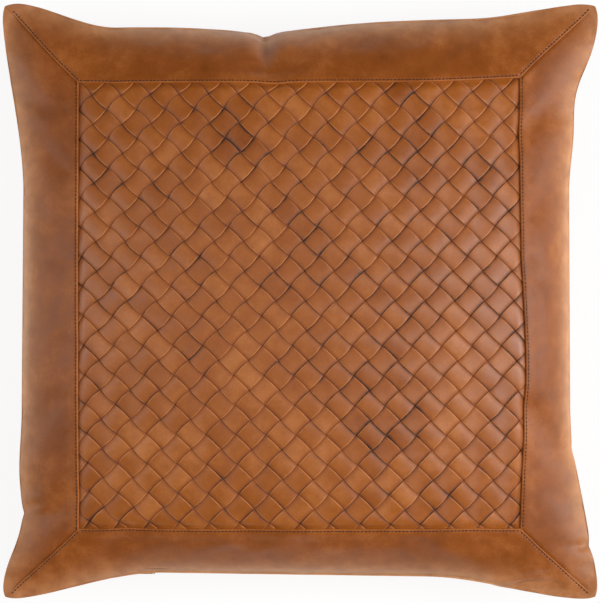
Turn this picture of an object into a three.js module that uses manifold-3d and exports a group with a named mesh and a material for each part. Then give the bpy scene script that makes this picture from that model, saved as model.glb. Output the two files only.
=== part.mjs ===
// A square leather throw pillow with a woven front, lying on its back.
// Millimetres. +Z points out of the front, +Y to its top edge, +X to its right edge.
// The origin is the middle of the flat patch that the pillow rests on.

import * as THREE from 'three';
import { mergeVertices } from 'three/addons/utils/BufferGeometryUtils.js';
import Module from 'manifold-3d';

// Driving dimensions of the cover
const inch = 25.4;
const coverSize = 20 * inch; // between opposite corner tips
const borderWidth = 2.5 * inch; // cut width of each mitred border
const crown = 72; // from the side seam up to the middle of the front
const flattening = 12; // how far its own weight presses the back flat
const edgePull = 20; // how far each edge pulls in between its corners
const cornerFlatness = 0.9; // 0 leaves the corners round, 1 makes them lie flat
const flareStart = 0.4; // share of the half side where the edge begins to run out to its corner
const flareEnd = 0.98; // share of the half side where it gets there

// Thicknesses and gaps
const leather = 1.2;
const stripLeather = 1.1;
const backingCloth = 0.4;
const insertCloth = 0.4;
const seamGap = 0.4; // between pieces that are sewn edge to edge
const layerGap = 0.3; // between pieces that lie on each other

// The insert is smaller than the cover, so the cover's corners stay empty
const insertCorner = 230; // half its size between corner tips
const insertPull = 9;
const insertDepth = 4.5; // under the cover's outer face

// The zip is set back between two lips in the bottom seam
const zipLength = 12 * inch; // between its stops
const zipRecess = 6; // from the edge of the cover in to the face of the tape
const lipOpening = 8;
const tapeWidth = 10;
const tapeThickness = 0.55;
const tapeOverhang = 7; // past each stop
const tapeSpacing = 1.8; // between the two tapes
const teethWidth = 2.5;
const teethHeight = 2.2;
const teethSpacing = 1;
const stopLength = 2.5;
const sliderLength = 9.5;
const sliderWidth = 8.4;
const plateThickness = 0.9;
const flangeWidth = 0.8;
const runningGap = 0.3;
const dividerLength = 3;
const dividerThickness = 0.5;
const bridgeLength = 5;
const bridgeHeight = 2.3;
const bridgeThickness = 1.2;
const bridgeBar = 0.9;
const pullLength = 24;
const pullWidth = 5;
const pullThickness = 0.8;
const pullEyeLength = 5;
const pullEyeWidth = 2.2;
const pullHoleRadius = 1.3;

const labelSize = { x: 0.4, y: 30, z: 18 };
const labelInset = 6; // from the edge of the cover
const labelOffset = 100; // from the middle of the left side towards the zip

// Grid that every layer shares, so that layers nest without cutting each other
const panelCells = 8; // across the woven panel
const borderRows = 3; // across each border

const half = coverSize / 2;
const panelShare = (half - borderWidth) / half;
const seamHeight = crown - flattening;
const edgeMiddle = half - edgePull;
const zipHalf = zipLength / 2;
const teethBase = edgeMiddle - zipRecess;
const sliderTravel = zipLength - sliderLength - 2 * runningGap;
const sliderClosed = -sliderTravel / 2;

const solids = await Module();
solids.setup();

// Finishes
const finish = (color, roughness, metalness = 0) => ({ color, roughness, metalness });
const borderLeather = finish(0x8f5630, 0.45);
const stripFinish = finish(0x9b5f37, 0.42);
const backLeather = finish(0x8a522e, 0.5);
const backingFinish = finish(0x3b2b20, 0.9);
const cottonFinish = finish(0xe9e2d4, 0.95);
const fillingFinish = finish(0xf4f1ea, 1);
const tapeFinish = finish(0x5a3a24, 0.85);
const teethFinish = finish(0x4a2f1d, 0.5);
const brassFinish = finish(0x8c7346, 0.35, 0.9);
const labelFinish = finish(0xf0ece2, 0.8);

function named(name, geometry, look) {
  const mesh = new THREE.Mesh(geometry, new THREE.MeshStandardMaterial(look));
  mesh.name = name;
  return mesh;
}

// How far an edge has run out to its corner, 0 in its middle and 1 at the tip
function flare(along) {
  return THREE.MathUtils.smoothstep(Math.abs(along), flareStart, flareEnd);
}

// 0 on the woven panel, rising to 1 at the outer edge
function acrossBorder(share) {
  return Math.max(0, (Math.abs(share) - panelShare) / (1 - panelShare));
}

// A form is one cushion shape: its corner reach, its edge pull and its rise above the seam
const coverForm = { reach: half, pull: edgePull, rise: crown };
const insertForm = { reach: insertCorner, pull: insertPull, rise: crown - insertDepth };

// The same form, smaller by some depth all over
function inset(form, depth) {
  return { reach: form.reach - depth, pull: form.pull, rise: form.rise - depth };
}

// The place on a form at shares s and t of the half side along X and Y
function place(form, s, t) {
  const x = s * form.reach - Math.sign(s) * form.pull * (1 - flare(t)) * acrossBorder(s);
  const y = t * form.reach - Math.sign(t) * form.pull * (1 - flare(s)) * acrossBorder(t);
  const swell = Math.sqrt((1 - s * s) * (1 - t * t)) * (1 - cornerFlatness * s * s * t * t);
  return { x, y, rise: form.rise * swell };
}

// lift(s, t, x) is the least height above or below the seam, which keeps front and back apart
function frontPoint(form, lift, s, t) {
  const at = place(form, s, t);
  return [at.x, at.y, seamHeight + Math.max(at.rise, lift(s, t, at.x))];
}

// The back is cut flat where it rests, by as much as it lies inside the cover
function backPoint(form, lift, s, t) {
  const at = place(form, s, t);
  const floor = crown - form.rise;
  return [at.x, at.y, Math.max(seamHeight - Math.max(at.rise, lift(s, t, at.x)), floor)];
}

const closedSeam = () => seamGap / 2;

// Lips stand apart over the zip, on the side where t is the sign given
const openSeam = (side) => (s, t, x) => {
  const overZip = t === side && Math.abs(x) < zipHalf;
  return overZip ? lipOpening / 2 : seamGap / 2;
};

function gridLines() {
  const seamAngle = Math.asin(panelShare);
  const rowAngle = (Math.PI / 2 - seamAngle) / borderRows;
  const lines = [];
  for (let cell = 0; cell <= panelCells; cell += 1) {
    lines.push(panelShare * (2 * cell / panelCells - 1));
  }
  for (let row = 1; row <= borderRows; row += 1) {
    const line = row === borderRows ? 1 : Math.sin(seamAngle + row * rowAngle);
    lines.push(line);
    lines.unshift(-line);
  }
  return lines;
}

const lines = gridLines();

// Grid triangles whose middle is inside a region, each as three [column, row] pairs.
// Cells are split along the way to the nearest corner, so the mitres fall on triangle edges.
function gridTriangles(region) {
  const chosen = [];
  for (let column = 0; column < lines.length - 1; column += 1) {
    for (let row = 0; row < lines.length - 1; row += 1) {
      const a = [column, row];
      const b = [column + 1, row];
      const c = [column + 1, row + 1];
      const d = [column, row + 1];
      const rising = (lines[column] + lines[column + 1]) * (lines[row] + lines[row + 1]) > 0;
      const pair = rising ? [[a, b, c], [a, c, d]] : [[a, b, d], [b, c, d]];
      for (const triangle of pair) {
        const s = triangle.reduce((sum, corner) => sum + lines[corner[0]], 0) / 3;
        const t = triangle.reduce((sum, corner) => sum + lines[corner[1]], 0) / 3;
        if (region(s, t)) chosen.push(triangle);
      }
    }
  }
  return chosen;
}

// A closed solid between an upper and a lower surface over some grid triangles.
// nudge(s, t) moves a grid point aside where the piece stops short of its neighbour.
function layer(triangles, upper, lower, nudge = (s, t) => [s, t]) {
  const positions = [];
  const faces = [];
  const numbers = new Map();
  const numberOf = ([column, row]) => {
    const key = column * lines.length + row;
    if (!numbers.has(key)) {
      const [s, t] = nudge(lines[column], lines[row]);
      numbers.set(key, positions.length / 3);
      positions.push(...upper(s, t), ...lower(s, t));
    }
    return numbers.get(key);
  };
  const openEdges = new Map();
  for (const triangle of triangles) {
    const [a, b, c] = triangle.map(numberOf);
    faces.push(a, b, c, a + 1, c + 1, b + 1);
    for (const [from, to] of [[a, b], [b, c], [c, a]]) {
      if (!openEdges.delete(`${to} ${from}`)) openEdges.set(`${from} ${to}`, [from, to]);
    }
  }
  for (const [from, to] of openEdges.values()) {
    faces.push(from, from + 1, to + 1, from, to + 1, to);
  }
  const geometry = new THREE.BufferGeometry();
  geometry.setAttribute('position', new THREE.Float32BufferAttribute(positions, 3));
  geometry.setIndex(faces);
  geometry.computeVertexNormals();
  return geometry;
}

// A sheet of one thickness whose outer face lies a depth inside a form
function frontSheet(region, form, depth, thickness, lift, nudge) {
  const outer = (s, t) => frontPoint(inset(form, depth), lift, s, t);
  const inner = (s, t) => frontPoint(inset(form, depth + thickness), lift, s, t);
  return layer(gridTriangles(region), outer, inner, nudge);
}

function backSheet(region, form, thickness, lift) {
  const inner = (s, t) => backPoint(inset(form, thickness), lift, s, t);
  const outer = (s, t) => backPoint(form, lift, s, t);
  return layer(gridTriangles(region), inner, outer);
}

const everywhere = () => true;
const onPanel = (s, t) => Math.max(Math.abs(s), Math.abs(t)) < panelShare;
const onTopBorder = (s, t) => t > panelShare && t > Math.abs(s);
const halfGap = seamGap / 2 / half;

// The top border stops short of the panel and of its neighbours at the mitres
function nudgeBorder(s, t) {
  const onMitre = Math.abs(s) === t;
  return [onMitre ? s - Math.sign(s) * halfGap : s, t === panelShare ? t + halfGap : t];
}

function nudgePanel(s, t) {
  const pullIn = (share) => share * (Math.abs(share) === panelShare ? 1 - halfGap / panelShare : 1);
  return [pullIn(s), pullIn(t)];
}

// Each border is the top border turned round the middle
function border(name, quarterTurns, lift) {
  const geometry = frontSheet(onTopBorder, coverForm, 0, leather, lift, nudgeBorder);
  const mesh = named(name, geometry, borderLeather);
  mesh.rotation.z = quarterTurns * Math.PI / 2;
  return mesh;
}

function frontCover() {
  const secondLayer = stripLeather + layerGap;
  const backingDepth = secondLayer + stripLeather + layerGap;
  const panelLayer = (depth, thickness) =>
    frontSheet(onPanel, coverForm, depth, thickness, closedSeam, nudgePanel);
  const group = new THREE.Group();
  group.add(
    border('border_top', 0, closedSeam),
    border('border_left', 1, closedSeam),
    border('border_bottom', 2, openSeam(1)),
    border('border_right', 3, closedSeam),
    named('weave_strips_rising', panelLayer(0, stripLeather), stripFinish),
    named('weave_strips_falling', panelLayer(secondLayer, stripLeather), stripFinish),
    named('weave_backing', panelLayer(backingDepth, backingCloth), backingFinish),
  );
  return group;
}

function backCover() {
  const geometry = backSheet(everywhere, coverForm, leather, openSeam(-1));
  return named('back_panel', geometry, backLeather);
}

function insertPillow() {
  const fillingForm = inset(insertForm, insertCloth + layerGap);
  const fillingFront = (s, t) => frontPoint(fillingForm, closedSeam, s, t);
  const fillingBack = (s, t) => backPoint(fillingForm, closedSeam, s, t);
  const group = new THREE.Group();
  group.add(
    named('insert_front', frontSheet(everywhere, insertForm, 0, insertCloth, closedSeam), cottonFinish),
    named('insert_back', backSheet(everywhere, insertForm, insertCloth, closedSeam), cottonFinish),
    named('filling', layer(gridTriangles(everywhere), fillingFront, fillingBack), fillingFinish),
  );
  return group;
}

// A box from its lowest to its highest corner
function block(low, high) {
  const size = high.map((value, axis) => value - low[axis]);
  const geometry = new THREE.BoxGeometry(...size);
  geometry.translate(...high.map((value, axis) => (value + low[axis]) / 2));
  return geometry;
}

function toSolid(geometry) {
  geometry.deleteAttribute('normal');
  geometry.deleteAttribute('uv');
  const merged = mergeVertices(geometry);
  return new solids.Manifold(new solids.Mesh({
    numProp: 3,
    vertProperties: merged.attributes.position.array,
    triVerts: new Uint32Array(merged.index.array),
  }));
}

function toGeometry(solid) {
  const mesh = solid.getMesh();
  const geometry = new THREE.BufferGeometry();
  geometry.setAttribute('position', new THREE.BufferAttribute(mesh.vertProperties, 3));
  geometry.setIndex(new THREE.BufferAttribute(mesh.triVerts, 1));
  geometry.computeVertexNormals();
  return geometry;
}

// Inside the zip group -Y points out of the pillow, and y = 0 is the outer face of the tapes
const plateInner = -teethHeight - runningGap; // inner face of the slider's outer plate
const plateOuter = plateInner - plateThickness;
const pullAxis = plateOuter - runningGap - pullThickness / 2;

function zipTape(name, side) {
  const reach = zipHalf + stopLength + tapeOverhang;
  const near = side * tapeSpacing / 2;
  const far = side * (tapeSpacing / 2 + tapeWidth);
  const low = [-reach, 0, Math.min(near, far)];
  const high = [reach, tapeThickness, Math.max(near, far)];
  return named(name, block(low, high), tapeFinish);
}

// A piece that stands on one tape, in line with its teeth
function onTape(name, side, fromX, toX, look) {
  const near = side * teethSpacing / 2;
  const far = side * (teethSpacing / 2 + teethWidth);
  const low = [fromX, -teethHeight, Math.min(near, far)];
  const high = [toX, -layerGap, Math.max(near, far)];
  return named(name, block(low, high), look);
}

function zipTeeth(name, side) {
  return onTape(name, side, -zipHalf, zipHalf, teethFinish);
}

function topStop(name, side) {
  const start = -zipHalf - layerGap;
  return onTape(name, side, start - stopLength, start, brassFinish);
}

function bottomStop() {
  const start = zipHalf + layerGap;
  const reach = teethSpacing / 2 + teethWidth;
  const low = [start, -teethHeight, -reach];
  const high = [start + stopLength, -layerGap, reach];
  return named('zip_bottom_stop', block(low, high), brassFinish);
}

// Two plates joined by a divider that runs between the teeth, with flanges and a bridge
function zipSlider() {
  const endX = sliderLength / 2;
  const endZ = sliderWidth / 2;
  const innerPlate = tapeThickness + runningGap;
  const pieces = [
    block([-endX, plateOuter, -endZ], [endX, plateInner, endZ]),
    block([-endX, innerPlate, -endZ], [endX, innerPlate + plateThickness, endZ]),
    block([-endX, plateOuter, endZ - flangeWidth], [endX, -runningGap, endZ]),
    block([-endX, plateOuter, -endZ], [endX, -runningGap, flangeWidth - endZ]),
    block(
      [-endX, plateOuter, -dividerThickness / 2],
      [dividerLength - endX, innerPlate + plateThickness, dividerThickness / 2],
    ),
  ];
  const arch = block(
    [-bridgeLength / 2, plateOuter - bridgeHeight, -bridgeThickness / 2],
    [bridgeLength / 2, plateInner, bridgeThickness / 2],
  );
  const archHole = block(
    [bridgeBar - bridgeLength / 2, plateOuter - bridgeHeight + bridgeBar, -bridgeThickness],
    [bridgeLength / 2 - bridgeBar, plateOuter, bridgeThickness],
  );
  const body = pieces.map(toSolid).reduce((joined, piece) => joined.add(piece));
  const bridge = toSolid(arch).subtract(toSolid(archHole));
  return named('zip_slider', toGeometry(body.add(bridge)), brassFinish);
}

// A flat tab with an eye round the bridge and a round hole near its tip
function zipPull() {
  const back = -pullThickness / 2;
  const tipRadius = pullWidth / 2;
  const tipCentre = back + pullLength - tipRadius;
  const outline = new THREE.Shape();
  outline.moveTo(back, -pullWidth / 2);
  outline.lineTo(tipCentre, -pullWidth / 2);
  outline.absarc(tipCentre, 0, tipRadius, -Math.PI / 2, Math.PI / 2, false);
  outline.lineTo(back, pullWidth / 2);
  const eye = new THREE.Path();
  eye.moveTo(-back, -pullEyeWidth / 2);
  eye.lineTo(-back, pullEyeWidth / 2);
  eye.lineTo(pullEyeLength, pullEyeWidth / 2);
  eye.lineTo(pullEyeLength, -pullEyeWidth / 2);
  const hole = new THREE.Path();
  hole.absarc(tipCentre, 0, pullHoleRadius, 0, 2 * Math.PI, true);
  outline.holes.push(eye, hole);
  const geometry = new THREE.ExtrudeGeometry(outline, {
    depth: pullThickness,
    bevelEnabled: false,
    curveSegments: 8,
  });
  geometry.translate(0, 0, back);
  geometry.rotateX(Math.PI / 2);
  const mesh = named('zip_pull', geometry, brassFinish);
  mesh.position.set(0, pullAxis, 0);
  return mesh;
}

function zip() {
  const running = new THREE.Group();
  running.position.x = sliderClosed;
  running.add(zipSlider(), zipPull());
  const group = new THREE.Group();
  group.position.set(0, -teethBase, seamHeight);
  group.add(
    zipTape('zip_tape_front', 1),
    zipTape('zip_tape_back', -1),
    zipTeeth('zip_teeth_front', 1),
    zipTeeth('zip_teeth_back', -1),
    topStop('zip_top_stop_front', 1),
    topStop('zip_top_stop_back', -1),
    bottomStop(),
    running,
  );
  return group;
}

// Blank care label, sewn inside the left seam
function careLabel() {
  const geometry = new THREE.BoxGeometry(labelSize.x, labelSize.y, labelSize.z);
  const mesh = named('care_label', geometry, labelFinish);
  mesh.position.set(labelInset - edgeMiddle, -labelOffset, seamHeight);
  return mesh;
}

const pillow = new THREE.Group();
pillow.add(frontCover(), backCover(), insertPillow(), zip(), careLabel());

export default pillow;
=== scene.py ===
"""A leather throw pillow with a diagonally woven front, lying on its back and seen from above."""

import math

import bmesh
import bpy
import numpy as np
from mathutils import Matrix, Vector


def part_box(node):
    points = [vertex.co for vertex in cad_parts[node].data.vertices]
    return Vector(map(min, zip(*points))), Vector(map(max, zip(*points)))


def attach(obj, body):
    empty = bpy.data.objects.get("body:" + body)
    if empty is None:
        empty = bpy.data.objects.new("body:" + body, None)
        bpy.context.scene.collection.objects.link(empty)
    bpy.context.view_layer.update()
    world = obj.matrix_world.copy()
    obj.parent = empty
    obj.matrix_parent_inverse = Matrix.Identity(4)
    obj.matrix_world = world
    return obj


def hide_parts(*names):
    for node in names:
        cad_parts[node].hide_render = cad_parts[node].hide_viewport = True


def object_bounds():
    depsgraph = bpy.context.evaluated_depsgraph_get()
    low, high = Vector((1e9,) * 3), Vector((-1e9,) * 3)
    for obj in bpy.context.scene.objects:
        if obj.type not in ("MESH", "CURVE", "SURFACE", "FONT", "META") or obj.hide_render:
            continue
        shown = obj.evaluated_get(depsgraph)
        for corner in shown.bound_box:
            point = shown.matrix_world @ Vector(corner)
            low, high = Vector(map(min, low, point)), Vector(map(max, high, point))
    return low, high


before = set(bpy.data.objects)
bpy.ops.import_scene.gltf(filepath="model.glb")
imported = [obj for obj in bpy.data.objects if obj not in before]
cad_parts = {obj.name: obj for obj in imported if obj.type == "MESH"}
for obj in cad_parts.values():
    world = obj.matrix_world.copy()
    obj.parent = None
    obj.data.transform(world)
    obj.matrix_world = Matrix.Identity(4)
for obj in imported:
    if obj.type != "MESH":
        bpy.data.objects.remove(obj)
cad_low, cad_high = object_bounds()

mm = 0.001

# Sizes read from the frame
half = cad_high.x
seam_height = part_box("border_left")[0].z
rise = cad_high.z - seam_height
zip_half = -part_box("zip_teeth_front")[0].x

SIDES = ["top", "left", "bottom", "right"]

# The cover's form, as shares of its half side where no unit is given
PANEL_SHARE = 0.745  # from the middle out to the seam round the woven panel
CORNER_FLATNESS = 0.9
EDGE_LIFT = 1.5 * mm  # of each face over the seam plane at the very edge
TIP_REACH = 1.5 * mm  # of the tips past the corners of the CAD, and how suddenly it starts
TIP_REACH_POWER = 8
TIP_ROUNDING = 4.0 * mm  # taken off each tip, and how suddenly it starts
TIP_ROUNDING_POWER = 24
RESTS_BELOW = 1.2 * mm  # of the back, which lies still on the floor there
BULGE_DEPTH = 26 * mm  # of the back's bulge under the outer seam
BULGE_TOP = 3.6 * mm
BULGE_BOTTOM = 3.0 * mm
LEATHER = 1.2 * mm
SKIVED_SHARE = 0.3  # of the leather's thickness left within the outer seam
# Width of the pale reflection painted along the outer seam
PAINTED_SHEEN_WIDTH = 13 * mm

# Each edge: how far its middle pulls in, how much more it does so towards one end, where that runs
# out near its lower or left corner and near the other one, its notches as (place, depth, width,
# power), and how far its panel seam stands out as (everywhere, place of more, how much, width)
EDGES = {
    "left": {"pull": 16.8 * mm, "lean": 0.12, "runs": [(0.36, 1.0), (0.36, 1.03)],
             "notches": [(-0.735, 10 * mm, 0.14, 2), (-0.7, 2 * mm, 0.02, 1.2)],
             "seam": (-1.6 * mm, 0, 0, 1)},
    "right": {"pull": 23.5 * mm, "lean": 0.05, "runs": [(0.34, 1.02), (0.36, 0.98)],
              "notches": [(-0.49, 1.8 * mm, 0.04, 1.2), (-0.81, 2.5 * mm, 0.03, 1.2),
                          (0.70, 7.5 * mm, 0.12, 2)],
              "seam": (-2.9 * mm, -0.25, 5 * mm, 0.33)},
    "top": {"pull": 16.4 * mm, "lean": -0.38, "runs": [(0.62, 0.97), (0.59, 1.02)],
            "notches": [(-0.10, 6 * mm, 0.26, 2), (-0.118, 7 * mm, 0.045, 1.1)],
            "seam": (-4.1 * mm, 0.85, 5 * mm, 0.30)},
    "bottom": {"pull": 20.7 * mm, "lean": -0.18, "runs": [(0.46, 1.02), (0.43, 1.02)],
               "notches": [], "seam": (3.2 * mm, 0, 0, 1)},
}

# Folds in the front's leather, each a ridge (or a valley, if its height is below 0) along a line:
# X and Y of its start, X and Y of its end, height and width, all in mm
FOLDS = [
    (-30, 228, -28, 199, -4.0, 6),
    (-30, 228, -29, 206, -1.0, 2),
    (-54, 228, -38, 202, 1.8, 8),
    (-6, 230, -20, 203, 1.8, 8),
    (-240, -178, -218, -170, -2.4, 3),
    (-236, -160, -229, -190, 1.4, 5),
    (238, 165, 212, 148, -1.8, 8),
    (236, -125, 216, -131, -1.8, 3.5),
    (238, -158, 224, -134, 1.2, 5),
    (250, -206, 232, -211, -1.8, 3.5),
    (166, -242, 216, -230, 4.4, 3.4),
    (180, -247, 226, -239, -5.0, 5),
]

# Seams. Heights are from the cover's outer surface, distances from the folded edge.
HEM = 10.5 * mm
FOLD_RADIUS = 1.22 * mm
HEM_LIFT = 1.0 * mm
HEM_GROOVE = 0.2 * mm  # pressed in by the stitches on the panel seam, and on the mitres
MITRE_GROOVE = 0.3 * mm
LEDGE_START = 2.5 * mm  # where the leather over the hem begins to come down, and where it is down
LEDGE_END = 16 * mm
MITRE_FADE = (0.955, 0.99)  # shares between which the mitre's lap runs out towards the tip
STITCH_INSET = 1.9 * mm
STITCH_PITCH = 3.2 * mm
STITCH_LENGTH = 2.1 * mm
THREAD = 0.47 * mm
LAP_DEPTH = 0.5 * mm  # of the side borders' ends under the mitres
MITRE_ENDS = {"top": ("left", "right"), "bottom": ("right", "left")}  # of the borders that lap over

# The woven strips
WEAVE_STEP = 12.57 * mm  # from one crossing's middle to the next one's edge, along X or Y
WEAVE_SHIFT = (4.7 * mm, 0.4 * mm)
WEAVE_LEAN = 0.042
WEAVE_SPREAD = (0.0116 * mm, -0.008 * mm)
WEAVE_PITCH = WEAVE_STEP * math.sqrt(2)  # from one strip's middle to the next one's
STRIP = 1.4 * mm
STRIP_CROWN = 0.2 * STRIP
STRIP_BOW = {True: 0.75 * mm, False: 0.5 * mm}  # of rising and of falling strips
STRIP_GAP = 0.4 * mm
WEAVE_DEPTH = 1.55 * mm
TUCK = 4.5 * mm  # of the strips under the borders
TUCK_DROP = 1.45 * mm
STRIP_REACH = 33  # strips looked for on each side of the middle
SAMPLES_PER_STEP = 20  # along a strip, to find where it ends
TONE_ROWS = 81  # strips and crossings that have a tone of their own
TONE_COLUMNS = 80
MIN_FLAT = 10.1 * mm  # the least side of a cut's flat size
LEAST_SHARE = 0.36  # of that cut, which the smallest strip in a corner fills
SHORTEST_LINE = 0.45  # of the lines along a strip, in half crossings, and the fewest that make one
FEWEST_LINES = 4
END_ROWS = 26  # at each end of a strip, and the least length with rows of its own between them
LEAST_MIDDLE = 4.5

# The rest
BACKING_DEPTH = 3.8 * mm
CLOTH = 0.4 * mm
INSERT_REACH = 230 * mm
INSERT_DEPTH = {"front": 4.9 * mm, "back": 1.6 * mm}  # under the cover's outer surface
INSERT_EDGE = 0.3 * mm  # of each half at its seam, from the seam plane
FILLING_REACH = 227 * mm
FILLING_DEPTH = {"front": 5.8 * mm, "back": 2.5 * mm}
LIP = 5.4 * mm  # outer face of each zip lip over the seam plane
CLOSED_END_FADE = (1 * mm, 9 * mm)  # past each end of the zip, over which its mouth closes
OPEN_END_FADE = (8 * mm, 30 * mm)
SIM_CELLS = 88
SIM_FRAMES = 20
SIM_CAP = 2.2 * mm  # the most that the simulation moves any point
SIM_SETTINGS = {
    "quality": 6, "mass": 0.4, "tension_stiffness": 40, "compression_stiffness": 40,
    "shear_stiffness": 12, "bending_stiffness": 3, "use_pressure": True,
    "uniform_pressure_force": 4, "shrink_min": -0.008, "vertex_group_mass": "held",
}

rng = np.random.default_rng(20)
relief = {}


# ---------------------------------------------------------------- the cover's surface

def smooth(value, start, end):
    """0 before start, 1 after end, and an S-curve between them."""
    share = np.clip((value - start) / (end - start), 0, 1)
    return share * share * (3 - 2 * share)


def unit(vectors):
    """The directions of some vectors."""
    return vectors / np.maximum(np.linalg.norm(vectors, axis=-1, keepdims=True), 1e-12)


def edge_pull(name, along):
    """How far one edge pulls in at a place along it."""
    edge = EDGES[name]
    pull = edge["pull"] * (1 + edge["lean"] * along)
    low, high = edge["runs"]
    pull = pull * (1 - smooth(-along, *low)) * (1 - smooth(along, *high))
    for place, depth, width, power in edge["notches"]:
        pull = pull + depth * np.exp(-np.abs((along - place) / width) ** power)
    return pull


def seam_push(name, along, across):
    """How far a place moves out with the panel seam on one side, and at both edges not at all."""
    base, place, extra, width = EDGES[name]["seam"]
    push = base + extra * np.exp(-((along - place) / width) ** 2)
    return push * np.clip(np.abs(across) / PANEL_SHARE, 0, 1) ** 2 * (1 - across_border(across))


def across_border(share):
    """0 in the panel, and rising over the border to 1 at the cover's edge."""
    return np.clip((np.abs(share) - PANEL_SHARE) / (1 - PANEL_SHARE), 0, 1) ** 1.3


def plan(s, t):
    """The place seen from above, at shares s and t of the half side along X and Y."""
    pull_x = np.where(s < 0, edge_pull("left", t), edge_pull("right", t))
    pull_y = np.where(t < 0, edge_pull("bottom", s), edge_pull("top", s))
    corner = np.abs(s * t)
    reach = half + TIP_REACH * corner ** TIP_REACH_POWER - TIP_ROUNDING * corner ** TIP_ROUNDING_POWER
    push_x = np.where(s < 0, seam_push("left", t, s), seam_push("right", t, s))
    push_y = np.where(t < 0, seam_push("bottom", s, t), seam_push("top", s, t))
    x = s * reach + np.sign(s) * (push_x - pull_x * across_border(s))
    y = t * reach + np.sign(t) * (push_y - pull_y * across_border(t))
    return x, y


def shares_at(x, y):
    """Shares s and t of a place seen from above, in or near the woven panel."""
    s, t = x / half, y / half
    for _ in range(4):
        there_x, there_y = plan(s, t)
        s = s + (x - there_x) / half
        t = t + (y - there_y) / half
    return s, t


def from_edge(s, t):
    """Distance in from the cover's outer seam."""
    return (1 - np.maximum(np.abs(s), np.abs(t))) * half


def folds(s, t):
    """How high the leather stands at a place because of its folds, which never overhang the edge."""
    x, y = plan(s, t)
    total = np.zeros_like(x)
    for x_start, y_start, x_end, y_end, height, width in np.array(FOLDS) * mm:
        run_x, run_y = x_end - x_start, y_end - y_start
        length = math.hypot(run_x, run_y)
        share = ((x - x_start) * run_x + (y - y_start) * run_y) / length ** 2
        off = ((x - x_start) * run_y - (y - y_start) * run_x) / length
        ends = smooth(share, -0.1, 0.35) * (1 - smooth(share, 0.35, 1.1))
        total = total + height * ends * np.exp(-(off / width) ** 2)
    facing_up = np.clip(normals("front", s, t)[..., 2], 0, 1)
    room = 0.5 * (surface("front", s, t)[..., 2] - seam_height)
    return room * np.tanh(total / room) * facing_up ** 0.7 * smooth(from_edge(s, t), 0, 2 * mm)


def over_zip(x, t):
    """1 along the zip's lips, fading out past its ends: slowly at the one the pull can reach over."""
    past_closed_end = smooth(-x - zip_half, *CLOSED_END_FADE)
    past_open_end = smooth(x - zip_half, *OPEN_END_FADE)
    return smooth(-t, 0.9, 0.985) * (1 - past_closed_end) * (1 - past_open_end)


def settle(z):
    """Presses the back flat where it would go below the floor."""
    lowest = seam_height - rise
    softness = 6 * mm

    def eased(value):
        return (value + np.sqrt(value * value + softness * softness)) / 2

    return eased(z) - eased(lowest)


def back_bulge(s, t, drop):
    """How far the back stands out beyond the seam, just under it."""
    top = BULGE_TOP * smooth(t, 0.9, 1) * (1 - smooth(np.abs(s), 0.75, 0.95))
    bottom = BULGE_BOTTOM * smooth(-t, 0.9, 1) * smooth(s, 0.62, 0.72) * (1 - smooth(s, 0.85, 0.97))
    wave = np.sin(np.pi * np.clip(drop / BULGE_DEPTH, 0, 1))
    return (top - bottom) * wave


def relief_at(face, s, t):
    """The simulated unevenness of one face, read from its grid with a cubic spline."""
    grid = relief.get(face)
    if grid is None:
        return np.zeros(s.shape + (3,))
    cells = grid.shape[0] - 1
    total = np.zeros(s.shape + (3,))
    places = [(np.arcsin(np.clip(v, -1, 1)) / np.pi + 0.5) * cells for v in (s, t)]
    bases = [np.clip(np.floor(p).astype(int), 0, cells - 1) for p in places]
    weights = []
    for p, base in zip(places, bases):
        f = p - base
        weights.append([(1 - f) ** 3 / 6, (3 * f ** 3 - 6 * f ** 2 + 4) / 6,
                        (-3 * f ** 3 + 3 * f ** 2 + 3 * f + 1) / 6, f ** 3 / 6])
    for i in range(4):
        for j in range(4):
            row = np.clip(bases[0] + i - 1, 0, cells)
            column = np.clip(bases[1] + j - 1, 0, cells)
            total += (weights[0][i] * weights[1][j])[..., None] * grid[row, column]
    return total


def surface(face, s, t):
    """Points of the cover's outer surface."""
    s, t = np.broadcast_arrays(np.asarray(s, float), np.asarray(t, float))
    x, y = plan(s, t)
    swell = np.sqrt(np.clip((1 - s * s) * (1 - t * t), 0, 1)) * (1 - CORNER_FLATNESS * (s * t) ** 2)
    lift = EDGE_LIFT + (LIP - EDGE_LIFT) * over_zip(x, t)
    height = np.sqrt((rise * swell) ** 2 + lift * lift)
    if face == "front":
        z = seam_height + height
    else:
        z = settle(seam_height - height)
        y = y + back_bulge(s, t, height)
    points = np.stack([x, y, z], axis=-1) + relief_at(face, s, t)
    points[..., 2] = np.maximum(points[..., 2], 0)
    return points


def normals(face, s, t):
    """Outward directions of the cover's surface."""
    step = 0.01
    limit = math.pi / 2 - 2 * step
    a = np.clip(np.arcsin(np.clip(s, -1, 1)), -limit, limit)
    b = np.clip(np.arcsin(np.clip(t, -1, 1)), -limit, limit)
    along = surface(face, np.sin(a + step), np.sin(b)) - surface(face, np.sin(a - step), np.sin(b))
    up = surface(face, np.sin(a), np.sin(b + step)) - surface(face, np.sin(a), np.sin(b - step))
    across = unit(np.cross(along, up))
    return across if face == "front" else -across


def lifted(face, s, t, height):
    """Points some height above the cover's surface."""
    s, t, height = np.broadcast_arrays(s, t, height)
    return surface(face, s, t) + normals(face, s, t) * height[..., None]


def turned(u, v, quarters):
    """Shares s and t for a place on a border, which is drawn as the top one and turned."""
    return [(u, v), (-v, u), (-u, -v), (v, -u)][quarters]


# ---------------------------------------------------------------- meshes

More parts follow.
